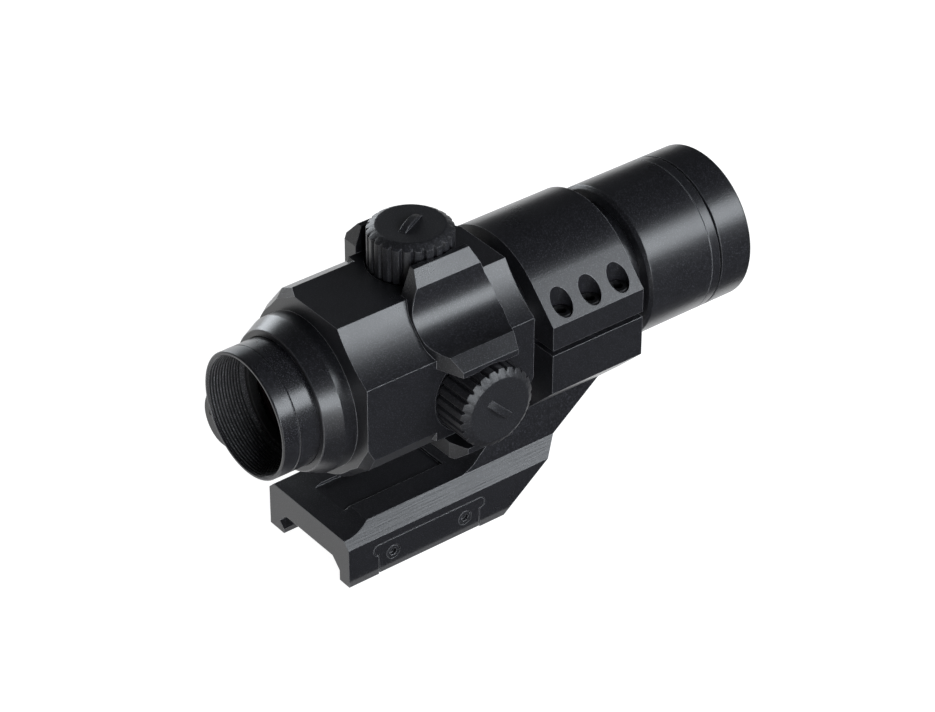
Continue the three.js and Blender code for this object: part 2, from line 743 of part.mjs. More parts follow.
// The groove that straddles the rail; its right flank is left open downwards.
function railGroove() {
  const seat = -AXIS_HEIGHT;
  const profile = [
    [-RAIL_TOP_HALF, seat],
    [-RAIL_WIDE_HALF, seat - RAIL_WIDE_DROP],
    [-JAW_HALF, seat - RAIL_WIDE_DROP - 1.6],
    [-JAW_HALF, BASE_BOTTOM - 1],
    [RAIL_WIDE_HALF, BASE_BOTTOM - 1],
    [RAIL_WIDE_HALF, seat - RAIL_WIDE_DROP],
    [RAIL_TOP_HALF, seat],
  ];
  return solid(alongY(profile, 0, 100));
}

const plateHead = [22.8, 53.4, -39.5, -36.8];
const plateStem = [24.2, 52, -44.5, -39.5];

function roundedHead(grow) {
  const [y0, y1, z0, z1] = plateHead;
  const radius = 1.2 + grow;
  const lo = [y0 + 1.2, z0 + 1.2];
  const hi = [y1 - 1.2, z1 - 1.2];
  return [
    ...arc(lo[0], lo[1], radius, 180, 270, 3),
    ...arc(hi[0], lo[1], radius, 270, 360, 3),
    ...arc(hi[0], hi[1], radius, 0, 90, 3),
    ...arc(lo[0], hi[1], radius, 90, 180, 3),
  ];
}

function plateRecess() {
  const [y0, y1] = plateStem;
  const head = alongX(roundedHead(0.2), PLATE_INNER - 0.3, 20);
  const stem = box(PLATE_INNER - 0.3, 20, y0 - 0.2, y1 + 0.2, BASE_BOTTOM - 2, -38);
  return join(solid(head), solid(stem));
}

function mountBody() {
  const front = alongX([
    [FRONT_FOOT - 4 / FRONT_SLOPE, BASE_BOTTOM - 4],
    [FRONT_FOOT + 90 / FRONT_SLOPE, BASE_BOTTOM - 4],
    [FRONT_FOOT + 90 / FRONT_SLOPE, BASE_BOTTOM + 90],
  ], -30, 30);
  const screws = [];
  for (const x of [-RING_SCREW_X, RING_SCREW_X]) {
    for (const y of RING_SCREW_Y) {
      screws.push(solid(at(upright(rod(1.6, -9.6, 2, SMALL)), x, y, 0)));
    }
  }
  for (const y of CLAMP_SCREW_Y) {
    screws.push(solid(at(sideways(rod(1.6, -13.2, -8, SMALL)), 0, y, CLAMP_SCREW_Z)));
    screws.push(solid(at(sideways(rod(1.9, -9, 20, SMALL)), 0, y, CLAMP_SCREW_Z)));
  }
  const body = join(baseBlock(), riser(), cradle());
  return surface(cut(
    body, solid(front), railGroove(), plateRecess(), solid(rod(RING_BORE, 0, 130, FINE)), ...screws));
}

function clampPlate() {
  const [y0, y1, z0, z1] = plateStem;
  const head = solid(alongX(roundedHead(0), PLATE_INNER, BASE_HALF));
  const hook = solid(alongY([
    [PLATE_INNER, z1 + 1],
    [PLATE_INNER, -AXIS_HEIGHT - RAIL_WIDE_DROP - 0.2],
    [JAW_HALF, -AXIS_HEIGHT - RAIL_WIDE_DROP - 1.6],
    [JAW_HALF, z0],
    [BASE_HALF, z0],
    [BASE_HALF, z1 + 1],
  ], y0, y1));
  const holes = CLAMP_SCREW_Y.flatMap((y) => [
    at(sideways(rod(1.6, 0, 20, SMALL)), 0, y, CLAMP_SCREW_Z),
    at(sideways(rod(2, 13, 20, 20)), 0, y, CLAMP_SCREW_Z),
  ]);
  return surface(cut(join(head, hook), ...holes.map(solid)));
}

function clampScrew() {
  const body = sideways(turned([
    [0, -12.8],
    [1.45, -12.8],
    [1.45, 13.2],
    [1.8, 13.2],
    [1.8, 14.9],
    [0, 14.9],
  ], 20));
  const socket = alongX(hexagon(1.15), 14, 17);
  return surface(cut(solid(body), solid(socket)));
}

add('mount_body', mountBody(), anodised);
add('clamp_plate', clampPlate(), anodised);
['rear', 'front'].forEach((word, i) => {
  add(`clamp_screw_${word}`, clampScrew(), screwSteel).position.set(0, CLAMP_SCREW_Y[i], CLAMP_SCREW_Z);
});

const scope = new THREE.Group();
scope.add(optic);
export default scope;
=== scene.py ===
"""Looks for the compact tube sight on its cantilever rail mount.

The row frame is in metres: +Y forward along the line of sight, +X to the right, +Z up,
with the origin on the rail seat. Sizes below are in millimetres, measured from the
eyepiece face along the optical axis and from that axis outwards; optic() turns them into
the row frame.
"""

import json
import math

import bmesh
import bpy
from mathutils import Matrix, Vector

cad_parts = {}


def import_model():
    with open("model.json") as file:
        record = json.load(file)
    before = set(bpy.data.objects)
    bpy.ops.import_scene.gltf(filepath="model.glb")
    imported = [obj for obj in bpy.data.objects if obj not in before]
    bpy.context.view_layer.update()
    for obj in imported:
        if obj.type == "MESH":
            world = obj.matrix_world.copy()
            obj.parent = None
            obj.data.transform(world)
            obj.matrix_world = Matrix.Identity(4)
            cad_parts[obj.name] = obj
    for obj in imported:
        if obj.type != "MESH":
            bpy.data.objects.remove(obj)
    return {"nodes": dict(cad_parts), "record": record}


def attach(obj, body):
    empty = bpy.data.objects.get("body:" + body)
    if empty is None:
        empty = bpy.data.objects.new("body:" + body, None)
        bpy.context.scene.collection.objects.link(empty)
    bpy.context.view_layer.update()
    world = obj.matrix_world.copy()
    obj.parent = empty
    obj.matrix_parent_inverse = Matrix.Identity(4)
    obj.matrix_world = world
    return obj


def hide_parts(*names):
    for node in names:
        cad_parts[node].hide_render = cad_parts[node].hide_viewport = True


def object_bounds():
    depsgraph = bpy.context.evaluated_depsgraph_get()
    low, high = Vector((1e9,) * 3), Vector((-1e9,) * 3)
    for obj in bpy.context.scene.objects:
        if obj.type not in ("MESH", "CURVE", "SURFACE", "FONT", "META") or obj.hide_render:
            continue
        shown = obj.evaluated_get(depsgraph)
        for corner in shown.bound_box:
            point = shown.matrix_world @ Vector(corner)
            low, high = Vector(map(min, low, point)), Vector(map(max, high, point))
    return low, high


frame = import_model()
cad_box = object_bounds()

MM = 0.001
AXIS_HEIGHT = 39.5
EYEPIECE_TO_SEAT = 38.0
TURRET_Y = 44.7
FLOOR_Z = cad_box[0].z

# The camera as solved from the photo's edges: metres, degrees and lens millimetres.
CAMERA_AT = (0.5032, -0.3695, 0.4730)
CAMERA_AZIMUTH = 52.097
CAMERA_ELEVATION = 34.808
CAMERA_ROLL = 0.131
SENSOR_WIDTH = 36
LENS = 134.0


# ---------------------------------------------------------------- camera
def make_camera():
    azimuth = math.radians(CAMERA_AZIMUTH)
    elevation = math.radians(CAMERA_ELEVATION)
    roll = math.radians(CAMERA_ROLL)
    back = Vector((
        math.sin(azimuth) * math.cos(elevation),
        -math.cos(azimuth) * math.cos(elevation),
        math.sin(elevation),
    ))
    right = Vector((math.cos(azimuth), math.sin(azimuth), 0))
    up = back.cross(right)
    tilted_right = math.cos(roll) * right + math.sin(roll) * up
    tilted_up = -math.sin(roll) * right + math.cos(roll) * up
    turn = Matrix((tilted_right, tilted_up, back)).transposed()
    data = bpy.data.cameras.new("camera")
    data.sensor_width = SENSOR_WIDTH
    data.lens = LENS
    data.clip_start = 0.01
    camera = bpy.data.objects.new("camera", data)
    camera.matrix_world = Matrix.Translation(CAMERA_AT) @ turn.to_4x4()
    bpy.context.scene.collection.objects.link(camera)
    bpy.context.scene.camera = camera


make_camera()


# ---------------------------------------------------------------- materials
# Noise scales are in cycles per metre: 3800 gives grains of about a quarter of a millimetre.
GRAIN_DEPTH = 0.03 * MM
BLAST_GRAIN = 3800
GLOSS_CLOUDS = 70
CLOUDED = 1.2
SPECKED = 6
SPECK_FADE = (0.52, 0.78)
EDGE_FADE = (0.80, 0.995)
TIGHT_EDGE = 0.05 * MM


class Nodes:
    """A material's node tree, with short ways to add and join nodes."""

    def __init__(self, name):
        self.material = bpy.data.materials.new(name)
        self.material.use_nodes = True
        self.tree = self.material.node_tree
        self.shader = self.tree.nodes["Principled BSDF"]
        self.coordinates = self.add("ShaderNodeTexCoord").outputs["Object"]

    def add(self, kind, **settings):
        node = self.tree.nodes.new(kind)
        for key, value in settings.items():
            setattr(node, key, value)
        return node

    def join(self, source, target):
        self.tree.links.new(source, target)

    def set(self, **values):
        for name, value in values.items():
            self.shader.inputs[name.replace("_", " ")].default_value = value

    def noise(self, scale, detail, stretch=(1, 1, 1)):
        mapping = self.add("ShaderNodeMapping")
        mapping.inputs["Scale"].default_value = stretch
        self.join(self.coordinates, mapping.inputs["Vector"])
        node = self.add("ShaderNodeTexNoise")
        node.inputs["Scale"].default_value = scale
        node.inputs["Detail"].default_value = detail
        self.join(mapping.outputs["Vector"], node.inputs["Vector"])
        return node.outputs["Fac"]

    def remap(self, source, low, high, from_low=0.3, from_high=0.7):
        node = self.add("ShaderNodeMapRange")
        node.inputs["From Min"].default_value = from_low
        node.inputs["From Max"].default_value = from_high
        node.inputs["To Min"].default_value = low
        node.inputs["To Max"].default_value = high
        self.join(source, node.inputs["Value"])
        return node.outputs["Result"]

    def blend(self, factor, low, high):
        node = self.add("ShaderNodeMix", data_type="RGBA")
        self.join(factor, node.inputs["Factor"])
        for value, socket in ((low, node.inputs["A"]), (high, node.inputs["B"])):
            if isinstance(value, tuple):
                socket.default_value = (*value, 1)
            else:
                self.join(value, socket)
        return node.outputs["Result"]

    def edges(self, radius):
        """1 along outer edges, 0 elsewhere, and the rounded normal itself."""
        bevel = self.add("ShaderNodeBevel", samples=4)
        bevel.inputs["Radius"].default_value = radius
        geometry = self.add("ShaderNodeNewGeometry")
        dot = self.add("ShaderNodeVectorMath", operation="DOT_PRODUCT")
        self.join(bevel.outputs["Normal"], dot.inputs[0])
        self.join(geometry.outputs["Normal"], dot.inputs[1])
        return self.remap(dot.outputs["Value"], 1, 0, *EDGE_FADE), bevel.outputs["Normal"]

    def bump(self, height, strength, normal=None):
        node = self.add("ShaderNodeBump")
        node.inputs["Strength"].default_value = strength
        node.inputs["Distance"].default_value = GRAIN_DEPTH
        self.join(height, node.inputs["Height"])
        if normal is not None:
            self.join(normal, node.inputs["Normal"])
        self.join(node.outputs["Normal"], self.shader.inputs["Normal"])


def anodised(name, base=(0.009, 0.009, 0.0105), rough=(0.27, 0.32), grain=0.7, edge_wear_and_highlight=0.28,
             rounding=0.20 * MM, streaks=None):
    """Bead-blasted black anodising: fine grain, cloudy gloss, and edges painted lighter, partly
    for slight wear and partly as a painted edge highlight.
    """
    m = Nodes(name)
    blast = m.noise(BLAST_GRAIN, 1.5)
    cloud = m.noise(GLOSS_CLOUDS, 3.0)
    edge, rounded = m.edges(rounding)
    tone = m.blend(m.remap(cloud, 0, 1), base, tuple(c * CLOUDED for c in base))
    speck = m.remap(blast, 0, 1, *SPECK_FADE)
    tone = m.blend(speck, tone, tuple(c * SPECKED for c in base))
    # Edges are painted lighter: partly real edge wear, partly a painted edge highlight.
    m.join(m.blend(edge, tone, (edge_wear_and_highlight, edge_wear_and_highlight, edge_wear_and_highlight * 1.05)), m.shader.inputs["Base Color"])
    m.join(m.remap(cloud, *rough), m.shader.inputs["Roughness"])
    height = m.noise(streaks[0], 2.0, streaks[1]) if streaks else blast
    m.bump(height, grain, rounded)
    m.set(IOR=1.5)
    return m.material


def plain(name, colour, rough, metallic, scale, grain=0.15, stretch=(1, 1, 1)):
    """A finish with noise in its colour, its gloss and its surface."""
    m = Nodes(name)
    fine = m.noise(scale, 3.0, stretch)
    dark = tuple(c * 0.75 for c in colour)
    m.join(m.blend(m.remap(fine, 0, 1), dark, colour), m.shader.inputs["Base Color"])
    m.join(m.remap(fine, rough * 0.85, min(1, rough * 1.2)), m.shader.inputs["Roughness"])
    m.bump(fine, grain)
    m.set(Metallic=metallic)
    return m.material


BLACK = anodised("anodised_black")
MACHINED = anodised("anodised_machined", rough=(0.28, 0.36), grain=0.8, edge_wear_and_highlight=0.3,
                    streaks=(2600, (1, 0.03, 1)))
INNER = anodised("inner_black", base=(0.006, 0.006, 0.0065), rough=(0.55, 0.7), edge_wear_and_highlight=0.03,
                 grain=0.2)
GLOSSY = anodised("anodised_turned", rough=(0.24, 0.31), grain=0.15, edge_wear_and_highlight=0.3,
                  rounding=TIGHT_EDGE)
SATIN = anodised("anodised_caps", rough=(0.40, 0.46), grain=0.15, edge_wear_and_highlight=0.25,
                 rounding=TIGHT_EDGE)
# A lighter black for the eyepiece ring's bore and thread crests: a painted highlight.
BORE_PAINTED_HIGHLIGHT = anodised("anodised_bore_painted_highlight", base=(0.06, 0.06, 0.063), rough=(0.35, 0.45), edge_wear_and_highlight=0.3,
                    rounding=TIGHT_EDGE)
STEEL = plain("black_oxide_steel", (0.055, 0.055, 0.058), 0.32, 0.9, 3000)
SPRING = plain("spring_steel", (0.6, 0.6, 0.59), 0.28, 1.0, 2500, stretch=(1, 1, 0.1))
BRASS = plain("dial_brass", (0.68, 0.5, 0.22), 0.3, 1.0, 2500)
RUBBER = plain("rubber_black", (0.022, 0.022, 0.023), 0.75, 0.0, 2600, grain=0.3)
BOARD = plain("circuit_green", (0.03, 0.13, 0.06), 0.45, 0.0, 700)
WRAP = plain("cell_wrap", (0.35, 0.37, 0.4), 0.35, 0.3, 900)


def coated_glass(name):
    """Glossy glass with a dark, faintly red tint, so that the bore behind it stays dark."""
    m = Nodes(name)
    cloud = m.noise(45, 2.0)
    tint = m.blend(m.remap(cloud, 0, 1), (0.05, 0.025, 0.025), (0.035, 0.02, 0.03))
    m.join(tint, m.shader.inputs["Base Color"])
    m.join(m.remap(cloud, 0.02, 0.05), m.shader.inputs["Roughness"])
    m.set(IOR=1.52, Transmission_Weight=0.75, Coat_Weight=1.0, Coat_Roughness=0.03)
    return m.material


GLASS = coated_glass("coated_glass")
FINISHES = {
    "anodised_black": BLACK,
    "inner_black": INNER,
    "screw_steel": STEEL,
    "spring_steel": SPRING,
    "dial_brass": BRASS,
    "rubber_black": RUBBER,
    "coated_glass": GLASS,
    "circuit_green": BOARD,
    "cell_wrap": WRAP,
}
SLOT_OF = {s["node"]: s["material_slot"] for s in frame["record"]["subparts"]}
BODY_OF = {n: b for b, ns in frame["record"]["behaviour"]["bodies"].items() for n in ns}


# ---------------------------------------------------------------- mesh helpers
def optic(x, y, z):
    """A point given from the eyepiece face and the optical axis, in the row frame."""
    return Vector((x, y - EYEPIECE_TO_SEAT, z + AXIS_HEIGHT)) * MM


# Edges that turn by more than this many degrees stay sharp.
SHARP_ANGLE = 32
SHARP_ANGLE_CUT = 8
ON_AXIS = 1e-9
STRAIGHT_ANGLE = math.radians(176)


def finish_piece(name, bm, node, materials, smooth=SHARP_ANGLE):
    """Turns bm into a piece that stands for a CAD node and rides on its body."""
    bmesh.ops.recalc_face_normals(bm, faces=bm.faces)
    mesh = bpy.data.meshes.new(name)
    bm.to_mesh(mesh)
    bm.free()
    for material in materials:
        mesh.materials.append(material)
    mesh.shade_smooth()
    mesh.set_sharp_from_angle(angle=math.radians(smooth))
    piece = bpy.data.objects.new(name, mesh)
    bpy.context.scene.collection.objects.link(piece)
    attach(piece, BODY_OF[node])
    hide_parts(node)
    flats = piece.modifiers.new("flats", "WEIGHTED_NORMAL")
    flats.mode = "FACE_AREA_WITH_ANGLE"
    flats.keep_sharp = True


def softened(profile, size):
    """The closed outline with each corner cut by two short steps."""
    points = []
    count = len(profile)
    for i, here in enumerate(profile):
        p = Vector(here)
        before = Vector(profile[i - 1]) - p
        after = Vector(profile[(i + 1) % count]) - p
        if p.x < ON_AXIS or before.angle(after) > STRAIGHT_ANGLE:
            points.append(p)
            continue
        reach = min(size, before.length * 0.45, after.length * 0.45)
        a = p + before.normalized() * reach
        c = p + after.normalized() * reach
        points += [a, (a + c + 2 * p) / 4, c]
    return points


def turned(bm, profile, segments, place):
    """Sweeps a closed outline of (radius, station) once round; place maps each point."""
    rings = []
    for p in profile:
        if p[0] < ON_AXIS:
            rings.append([bm.verts.new(place(0, 0, p[1]))])
            continue
        rings.append([
            bm.verts.new(place(
                p[0] * math.cos(2 * math.pi * k / segments),
                p[0] * math.sin(2 * math.pi * k / segments),
                p[1],
            ))
            for k in range(segments)
        ])
    for ring, following in zip(rings, rings[1:] + rings[:1]):
        if len(ring) == len(following) == 1:
            continue
        for k in range(segments):
            j = (k + 1) % segments
            if len(ring) == 1:
                bm.faces.new((ring[0], following[k], following[j]))
            elif len(following) == 1:
                bm.faces.new((ring[k], ring[j], following[0]))
            else:
                bm.faces.new((ring[k], ring[j], following[j], following[k]))


def about_optic(a, b, station):
    return optic(a, station, b)


def lathe(name, node, profile, material, segments=144, size=0.12, place=about_optic):
    """A turned piece with eased edges that stands for a CAD node."""
    bm = bmesh.new()
    turned(bm, softened(profile, size), segments, place)
    finish_piece(name, bm, node, (material,))


# ---------------------------------------------------------------- joining and cutting solids
# Segments round a circle, by how large it is.
FINE = 160
MEDIUM = 96
SCREW = 32
WELD = 0.002
UP = Matrix.Rotation(math.pi / 2, 4, "X")
RIGHTWARD = Matrix.Rotation(-math.pi / 2, 4, "Z")
SWAP_X_Z = Matrix(((0, 0, 1, 0), (0, 1, 0, 0), (1, 0, 0, 0), (0, 0, 0, 1)))


def solid(bm):
    """An object in optic millimetres that the boolean steps can use."""
    bmesh.ops.recalc_face_normals(bm, faces=bm.faces)
    mesh = bpy.data.meshes.new("solid")
    bm.to_mesh(mesh)
    bm.free()
    body = bpy.data.objects.new("solid", mesh)
    bpy.context.scene.collection.objects.link(body)
    return body


def lathed(profile, segments, turn=None, at=(0, 0, 0)):
    """A solid of revolution about +Y, then turned and moved."""
    bm = bmesh.new()
    turned(bm, [Vector(p) for p in profile], segments, lambda a, b, y: Vector((a, y, b)))
    if turn:
        bmesh.ops.transform(bm, matrix=turn, verts=bm.verts)
    bmesh.ops.translate(bm, vec=at, verts=bm.verts)
    return solid(bm)


def rod(radius, low, high, segments, turn=None, at=(0, 0, 0)):
    return lathed([(0, low), (radius, low), (radius, high), (0, high)], segments, turn, at)


def skinned(bm, rings):
    """Joins closed rings of matching points one to the next, and closes both ends."""
    for one, two in zip(rings, rings[1:]):
        for i in range(len(one)):
            j = (i + 1) % len(one)
            bm.faces.new((one[i], one[j], two[j], two[i]))
    bm.faces.new(rings[0])
    bm.faces.new(list(reversed(rings[-1])))


def loft(sections):
    """A solid through closed outlines of matching points."""
    bm = bmesh.new()
    skinned(bm, [[bm.verts.new(p) for p in section] for section in sections])
    return solid(bm)


def along_y(points, low, high):
    """The outline of (x, z) points drawn out from y = low to y = high."""
    return loft([[(a, y, b) for a, b in points] for y in (low, high)])


def along_x(points, low, high):
    """The outline of (y, z) points drawn out from x = low to x = high."""
    return loft([[(x, a, b) for a, b in points] for x in (low, high)])


def block(x0, x1, y0, y1, z0, z1):
    return along_y([(x0, z0), (x1, z0), (x1, z1), (x0, z1)], y0, y1)


def arc(cx, cz, radius, start, end, steps):
    angles = [math.radians(start + (end - start) * i / steps) for i in range(steps + 1)]
    return [(cx + radius * math.cos(t), cz + radius * math.sin(t)) for t in angles]


def combined(base, steps):
    """The base after each (operation, tool) in turn; the tools are used up."""
    for operation, tool in steps:
        step = base.modifiers.new("step", "BOOLEAN")
        step.operation = operation
        step.solver = "MANIFOLD"
        step.object = tool
    depsgraph = bpy.context.evaluated_depsgraph_get()
    mesh = bpy.data.meshes.new_from_object(base.evaluated_get(depsgraph))
    for used in [base] + [tool for _, tool in steps]:
        bpy.data.objects.remove(used)
    body = bpy.data.objects.new("solid", mesh)
    bpy.context.scene.collection.objects.link(body)
    return body


def joined(base, *tools):
    return combined(base, [("UNION", tool) for tool in tools])


def cut(base, *tools):
    return combined(base, [("DIFFERENCE", tool) for tool in tools])


def overlap(base, *tools):
    return combined(base, [("INTERSECT", tool) for tool in tools])


def swapped(body):
    """The copy of a body with its upward and rightward sides exchanged."""
    mesh = body.data.copy()
    mesh.transform(SWAP_X_Z)
    mesh.flip_normals()
    copy = bpy.data.objects.new("solid", mesh)
    bpy.context.scene.collection.objects.link(copy)
    return copy


def as_piece(name, body, node, materials, paint=None, smooth=SHARP_ANGLE_CUT):
    """Stands a finished solid in for its CAD node, shaded smooth with its flats kept flat."""
    bm = bmesh.new()
    bm.from_mesh(body.data)
    bpy.data.objects.remove(body)
    bmesh.ops.remove_doubles(bm, verts=bm.verts, dist=WELD)
    bmesh.ops.dissolve_degenerate(bm, edges=bm.edges, dist=WELD)
    for vert in bm.verts:
        vert.co = optic(*vert.co)
    bm.normal_update()
    for face in bm.faces:
        face.material_index = paint(face) if paint else 0
    finish_piece(name, bm, node, materials, smooth)


# ---------------------------------------------------------------- main housing
BLOCK_START = 16.7
BLOCK_END = 61.6
BLOCK_RIM = 1.3
BLOCK_RIM_RUN = 2
BLOCK_RADIUS = 21.0
BLOCK_FLAT = 21.8
FACET_CORNER = 11.5
BORE = 13.3
GUARD_SHOULDER = 25.0
GUARD_TOP = 34.0
GUARD_LEAN = 0.37
GUARD_HALF = 13.5
GUARD_RIDGE = (10.9, 28.2)
GUARD_FOOT = 7.8
SLOT_HALF = 9.5
BATTERY_X = -20.5
BATTERY_Z = -16.0
BATTERY_RADIUS = 7.5
BATTERY_END = 63.4
TUBE_RADIUS = 15
TURRET_WELL = 6.5
KEYPAD_FACE = 24.6
KEYPAD_Y = 40.0
KEYPAD_Z = -2.5
KEYPAD_HALF = (15.0, 6.5)
KEYPAD_HOLLOW_HALF = (11.6, 5)


def housing_block():
    """Round, with two flats and a shallow shoulder beside each of them."""
    rim = BLOCK_RADIUS - BLOCK_RIM
    round_part = lathed([
        (0, BLOCK_START), (rim, BLOCK_START), (BLOCK_RADIUS, BLOCK_START + BLOCK_RIM_RUN),
        (BLOCK_RADIUS, BLOCK_END - BLOCK_RIM_RUN), (rim, BLOCK_END), (0, BLOCK_END),
    ], FINE)
    inner = -3.4
    slant = 1.7
    shoulder = BLOCK_RADIUS / math.sqrt(2)
    end = [(-3.9, BLOCK_FLAT), (-10.75, 17.7), (1 - shoulder, shoulder - 1)]
    run = [(-7.2, BLOCK_FLAT), (-10.95, 19.75), (-shoulder, shoulder)]
    corner = [(inner, inner), (BLOCK_FLAT, inner), (BLOCK_FLAT, BLOCK_FLAT)]
    top = loft([
        [(x, y, z) for x, z in corner + ridge]
        for y, ridge in ((BLOCK_START, end), (BLOCK_START + slant, run),
                         (BLOCK_END - slant, run), (BLOCK_END, end))
    ])
    hollow = 0.8
    half = (BLOCK_FLAT - FACET_CORNER) / math.sqrt(2)
    radius = (half ** 2 + hollow ** 2) / (2 * hollow)
    reach = ((BLOCK_FLAT + FACET_CORNER) / math.sqrt(2) - hollow + radius) / math.sqrt(2)
    facet = rod(radius, 0, 100, 288, at=(reach, 0, reach))
    return cut(joined(round_part, swapped(top), top), facet)


def leaning(reach, x0, x1):
    """A wedge about the turret whose ends lean together, reach from it at the shoulder."""
    at_axis = reach + GUARD_LEAN * GUARD_SHOULDER
    at_top = reach - GUARD_LEAN * (GUARD_TOP - GUARD_SHOULDER)
    return along_x([
        (TURRET_Y - at_axis, 0), (TURRET_Y + at_axis, 0),
        (TURRET_Y + at_top, GUARD_TOP), (TURRET_Y - at_top, GUARD_TOP),
    ], x0, x1)


def guards():
    """The pair of guards beside the top turret, and the same pair laid to the right."""
    ridge_half, ridge = GUARD_RIDGE
    profile = [
        (-GUARD_HALF, 6), (-GUARD_HALF, GUARD_SHOULDER), (-ridge_half, ridge), (ridge_half, ridge),
        (GUARD_HALF, GUARD_SHOULDER), *arc(24, 24, 10.5, 180, 234, 30), (6, 6),
    ]
    foot = block(-20, -SLOT_HALF, TURRET_Y - GUARD_FOOT, TURRET_Y + GUARD_FOOT, 0, GUARD_TOP)
    outer = overlap(leaning(7.3, -20, -SLOT_HALF), foot)
    ends = joined(leaning(8.55, -SLOT_HALF, 30), outer)
    pair = overlap(along_y(profile, TURRET_Y - 15, TURRET_Y + 15), ends)
    half = [(14, 10.7), (23.9, 10.7), (26.2, 9.4), (GUARD_TOP, 9.4)]
    envelope = lathed(
        [(r, TURRET_Y - reach) for r, reach in half]
        + [(r, TURRET_Y + reach) for r, reach in reversed(half)], FINE)
    return overlap(joined(pair, swapped(pair)), envelope)


def pocket():
    """The round pocket under a cap, with the slot between its two guards."""
    round_part = rod(10.1, 20.8, 40, MEDIUM, UP, (0, TURRET_Y, 0))
    slot = block(-SLOT_HALF, SLOT_HALF, TURRET_Y - 12, TURRET_Y + 12, BLOCK_FLAT, 40)
    return joined(round_part, slot)


def keypad_block(x0, x1, half):
    long, high = half
    return block(x0, x1, KEYPAD_Y - long, KEYPAD_Y + long, KEYPAD_Z - high, KEYPAD_Z + high)


def main_housing():
    sleeve = lathed([
        (0, 9.3), (16.1, 9.3), (16.3, 9.45), (18.0, 13.2), (18.1, 13.5), (18.1, 17.7), (0, 17.7),
    ], FINE)
    tube = rod(TUBE_RADIUS, BLOCK_END - 1, 103.3, FINE)
    battery_axis = (BATTERY_X, 0, BATTERY_Z)
    boss = lathed([
        (0, BLOCK_START), (BATTERY_RADIUS, BLOCK_START), (BATTERY_RADIUS, BATTERY_END - 1.5),
        (7.1, BATTERY_END - 0.5), (6.0, BATTERY_END), (0, BATTERY_END),
    ], MEDIUM, at=battery_axis)
    keypad = keypad_block(-KEYPAD_FACE, -16, KEYPAD_HALF)
    top_pocket = pocket()
    tools = [
        swapped(top_pocket),
        top_pocket,
        rod(BORE, 10, 110, FINE),
        rod(14.9, 5, 20.3, FINE),
        rod(TURRET_WELL, 10, 30, MEDIUM, UP, (0, TURRET_Y, 0)),
        rod(TURRET_WELL, 10, 30, MEDIUM, RIGHTWARD, (0, TURRET_Y, 0)),
        rod(5.7, 10, BATTERY_END - 2, MEDIUM, at=battery_axis),
        rod(6.7, 10, BLOCK_START + 4.5, MEDIUM, at=battery_axis),
        keypad_block(-KEYPAD_FACE - 1, -19.6, KEYPAD_HOLLOW_HALF),
    ]
    body = joined(housing_block(), guards(), sleeve, tube, boss, keypad)
    as_piece("main_housing_shell", cut(body, *tools), "main_housing", (BLACK,))


main_housing()


# ---------------------------------------------------------------- ring cap
RING_START = 67
RING_END = 92.6
RING_RADIUS = 20
RING_SIDE = 21.8
RING_BORE = 15.15
RING_SPLIT = 0.45
RING_SCREWS = [(x, y, 0) for x in (-18.5, 18.5) for y in (71.8, 79.8, 87.8)]
SCREW_HOLE = 1.6


def ring_cap():
    edge = RING_RADIUS * math.sqrt(2) - RING_SIDE
    profile = [
        (RING_SIDE, RING_SPLIT), (RING_SIDE, edge), *arc(0, 0, RING_RADIUS, 45, 135, 56),
        (-RING_SIDE, edge), (-RING_SIDE, RING_SPLIT), *arc(0, 0, RING_BORE, 178.3, 1.7, 80),
    ]
    holes = []
    for at in RING_SCREWS:
        holes.append(rod(2.6, 4.5, 30, 64, UP, at))
        holes.append(rod(SCREW_HOLE, -1, 6, SCREW, UP, at))
    body = cut(along_y(profile, RING_START, RING_END), *holes)
    as_piece("ring_cap_shell", body, "ring_cap", (BLACK,))


ring_cap()


# ---------------------------------------------------------------- ring and clamp screws
def socket_screw(node, profile, socket, depth, turn, at, material):
    """A turned screw with a hexagonal socket in its end."""
    hexagon = arc(0, 0, socket, 0, 300, 5)
    top = max(station for _, station in profile)
    key = loft([[(a, y, b) for a, b in hexagon] for y in (top - depth, top + 1)])
    key.data.transform(Matrix.Translation(at) @ turn)
    body = cut(lathed(profile, 48, turn, at), key)
    as_piece(node + "_turned", body, node, (material,), smooth=25)


RING_SCREW = [
    (0, -9), (1.4, -9), (1.4, 4.8), (2.35, 4.8), (2.35, 7.15), (2.28, 7.4), (2.1, 7.55),
    (1.9, 7.6), (0, 7.6),
]
for number, at in enumerate(RING_SCREWS, start=1):
    socket_screw(f"ring_screw_{number}", RING_SCREW, 1.3, 1.6, UP, at, STEEL)

CLAMP_SCREW = [
    (0, -12.8), (1.3, -12.8), (1.45, -12.6), (1.45, 13.2), (1.7, 13.2), (1.7, 14.8),
    (1.55, 14.95), (0, 14.95),
]
CLAMP_SCREWS = {"rear": (0, 28, -40.4), "front": (0, 48, -40.4)}
for word, at in CLAMP_SCREWS.items():
    socket_screw(f"clamp_screw_{word}", CLAMP_SCREW, 1.0, 0.9, RIGHTWARD, at, MACHINED)


# ---------------------------------------------------------------- mount body and clamp plate
BASE_START = 15.9
BASE_HALF = 15.0
BASE_BOTTOM = -44.8
BASE_TOP = -31.4
BASE_BEVEL = 3.3
CHANNEL_HALF = 5.4
CHANNEL_FLOOR = -32.1
SCOOP_FLOOR = -33
SCOOP_RADIUS = 15.7
WEB_HALF = 11.7
WEB_TOP = -17
WEB_START = 49.2
FRONT_SLOPE = 0.8
FRONT_FOOT = 59.1
SEAT = -AXIS_HEIGHT
GROOVE_MOUTH = 8.8
GROOVE_WIDEST = (11.4, SEAT - 2.6)
JAW_TIP = (9.8, SEAT - 4.2)
PLATE_INNER = 11.2
PLATE_STEM = (24.2, 52.0)
PLATE_GAP = 0.2
